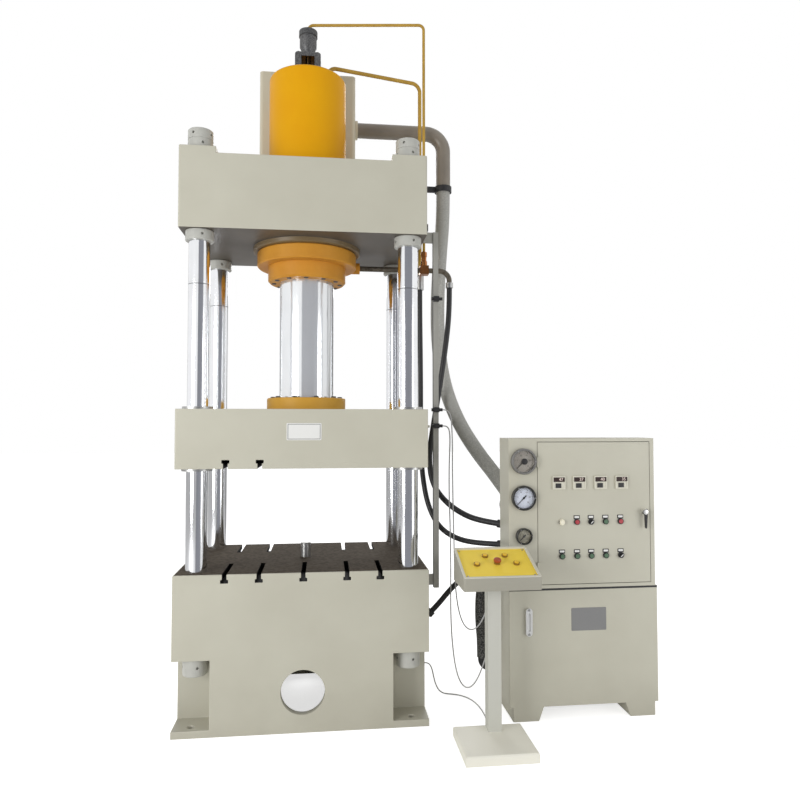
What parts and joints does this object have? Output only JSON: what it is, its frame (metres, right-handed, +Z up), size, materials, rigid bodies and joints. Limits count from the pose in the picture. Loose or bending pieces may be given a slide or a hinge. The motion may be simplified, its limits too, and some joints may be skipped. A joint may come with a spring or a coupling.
{
  "type": "hydraulic press",
  "caption": "Four-column hydraulic press with overhead cylinder, sliding platen, ejector, hydraulic power unit with electric panel, and pedestal push-button console",
  "frame": {"origin": "centre of the anchor bolt pattern on the floor, under the ram's axis", "axes": "+X to the power unit on the right, -Y to the front where the worker stands, +Z up along the ram"},
  "size_m": [2.45, 1.21, 3.774],
  "materials": {
    "painted_beige": "satin",
    "cylinder_yellow": "gloss",
    "bright_steel": "polished",
    "plain_steel": "machined",
    "pipe_brass": "satin",
    "dark_iron": "matte",
    "tank_grey": "satin",
    "hose_black": "matte",
    "hose_grey": "braided",
    "cable_grey": "matte",
    "panel_yellow": "satin",
    "rim_cream": "satin",
    "control_black": "matte",
    "control_red": "gloss",
    "control_green": "gloss",
    "gauge_glass": "clear",
    "bronze": "machined"
  },
  "bodies": {
    "frame": {"bed": "painted_beige", "columns": "bright_steel", "frame_nuts": "painted_beige", "crown": "painted_beige", "main_cylinder": "cylinder_yellow", "gland": "cylinder_yellow", "prefill_valve": "dark_iron", "fill_tank": "tank_grey", "oil_pipes": "pipe_brass", "fill_pipe": "tank_grey", "hose_fittings": "plain_steel", "fill_hose": "hose_grey", "pressure_hose": "hose_black", "return_hose": "hose_black", "ejector_hose": "hose_black", "suction_hose": "hose_grey", "stroke_bar": "painted_beige", "limit_switches": "control_black", "low_switch_cable": "cable_grey", "high_switch_cable": "cable_grey", "console_cable": "cable_grey", "ejector_cylinder": "plain_steel", "oil_tank": "painted_beige", "tank_lid": "painted_beige", "level_gauge": "plain_steel", "electric_box": "painted_beige", "switchgear": "control_black", "gauge_cases": "bright_steel", "gauge_lenses": "gauge_glass", "motor": "dark_iron", "pump": "dark_iron", "valve_block": "plain_steel", "console_stand": "painted_beige", "console_box": "rim_cream", "console_panel": "panel_yellow"},
    "slide": {"slide": "painted_beige", "guide_bushes": "bronze", "ram": "bright_steel", "ram_flange": "cylinder_yellow"},
    "ejector": {"ejector_rod": "bright_steel"},
    "door": {"door": "painted_beige", "door_instruments": "control_black"},
    "door_handle": {"door_handle": "control_black"},
    "red_button_left": {"red_button_left": "control_red"},
    "green_button_upper": {"green_button_upper": "control_green"},
    "red_button_right": {"red_button_right": "control_red"},
    "green_button_first": {"green_button_first": "control_green"},
    "green_button_second": {"green_button_second": "control_green"},
    "green_button_third": {"green_button_third": "control_green"},
    "green_button_fourth": {"green_button_fourth": "control_green"},
    "mode_selector": {"mode_selector": "control_black"},
    "pressure_selector": {"pressure_selector": "control_black"},
    "top_gauge_needle": {"top_gauge_needle": "control_black"},
    "middle_gauge_needle": {"middle_gauge_needle": "control_black"},
    "bottom_gauge_needle": {"bottom_gauge_needle": "control_black"},
    "console_button_rear_left": {"console_button_rear_left": "control_green"},
    "console_button_rear_right": {"console_button_rear_right": "control_green"},
    "console_stop": {"console_stop": "control_red"},
    "console_button_left": {"console_button_left": "control_black"},
    "console_button_right": {"console_button_right": "control_black"}
  },
  "joints": [
    {"name": "slide_travel", "type": "slide", "parent": "frame", "child": "slide", "axis": [0, 0, 1], "range_m": [-0.2, 0.5]},
    {"name": "ejector_travel", "type": "slide", "parent": "frame", "child": "ejector", "axis": [0, 0, 1], "range_m": [-0.085, 0.115]},
    {"name": "door_hinge", "type": "hinge", "parent": "frame", "child": "door", "pos_m": [1.1847, -0.416, 1.0475], "axis": [0, 0, -1], "range_deg": [0, 90]},
    {"name": "door_handle_turn", "type": "hinge", "parent": "door", "child": "door_handle", "pos_m": [1.75689, -0.41, 1.0475], "axis": [0, 1, 0], "range_deg": [0, 90]},
    {"name": "red_button_left_press", "type": "slide", "parent": "door", "child": "red_button_left", "axis": [0, 1, 0], "range_m": [0, 0.004], "stiffness_N_per_m": 800},
    {"name": "green_button_upper_press", "type": "slide", "parent": "door", "child": "green_button_upper", "axis": [0, 1, 0], "range_m": [0, 0.004], "stiffness_N_per_m": 800},
    {"name": "red_button_right_press", "type": "slide", "parent": "door", "child": "red_button_right", "axis": [0, 1, 0], "range_m": [0, 0.004], "stiffness_N_per_m": 800},
    {"name": "green_button_first_press", "type": "slide", "parent": "door", "child": "green_button_first", "axis": [0, 1, 0], "range_m": [0, 0.004], "stiffness_N_per_m": 800},
    {"name": "green_button_second_press", "type": "slide", "parent": "door", "child": "green_button_second", "axis": [0, 1, 0], "range_m": [0, 0.004], "stiffness_N_per_m": 800},
    {"name": "green_button_third_press", "type": "slide", "parent": "door", "child": "green_button_third", "axis": [0, 1, 0], "range_m": [0, 0.004], "stiffness_N_per_m": 800},
    {"name": "green_button_fourth_press", "type": "slide", "parent": "door", "child": "green_button_fourth", "axis": [0, 1, 0], "range_m": [0, 0.004], "stiffness_N_per_m": 800},
    {"name": "mode_selector_turn", "type": "hinge", "parent": "door", "child": "mode_selector", "pos_m": [1.46913, -0.41, 1.00038], "axis": [0, 1, 0], "range_deg": [-90, 0]},
    {"name": "pressure_selector_turn", "type": "hinge", "parent": "door", "child": "pressure_selector", "pos_m": [1.62806, -0.41, 0.82637], "axis": [0, 1, 0], "range_deg": [-90, 0]},
    {"name": "top_gauge_needle_sweep", "type": "hinge", "parent": "frame", "child": "top_gauge_needle", "pos_m": [1.111, -0.41, 1.31296], "axis": [0, 1, 0], "range_deg": [0, 270]},
    {"name": "middle_gauge_needle_sweep", "type": "hinge", "parent": "frame", "child": "middle_gauge_needle", "pos_m": [1.111, -0.41, 1.12706], "axis": [0, 1, 0], "range_deg": [0, 270]},
    {"name": "bottom_gauge_needle_sweep", "type": "hinge", "parent": "frame", "child": "bottom_gauge_needle", "pos_m": [1.111, -0.41, 0.93275], "axis": [0, 1, 0], "range_deg": [0, 270]},
    {"name": "console_button_rear_left_press", "type": "slide", "parent": "frame", "child": "console_button_rear_left", "axis": [0, 0.3549, -0.9349], "range_m": [0, 0.004], "stiffness_N_per_m": 1500},
    {"name": "console_button_rear_right_press", "type": "slide", "parent": "frame", "child": "console_button_rear_right", "axis": [0, 0.3549, -0.9349], "range_m": [0, 0.004], "stiffness_N_per_m": 1500},
    {"name": "console_stop_press", "type": "slide", "parent": "frame", "child": "console_stop", "axis": [0, 0.3549, -0.9349], "range_m": [0, 0.004], "stiffness_N_per_m": 1500},
    {"name": "console_button_left_press", "type": "slide", "parent": "frame", "child": "console_button_left", "axis": [0, 0.3549, -0.9349], "range_m": [0, 0.004], "stiffness_N_per_m": 1500},
    {"name": "console_button_right_press", "type": "slide", "parent": "frame", "child": "console_button_right", "axis": [0, 0.3549, -0.9349], "range_m": [0, 0.004], "stiffness_N_per_m": 1500}
  ]
}
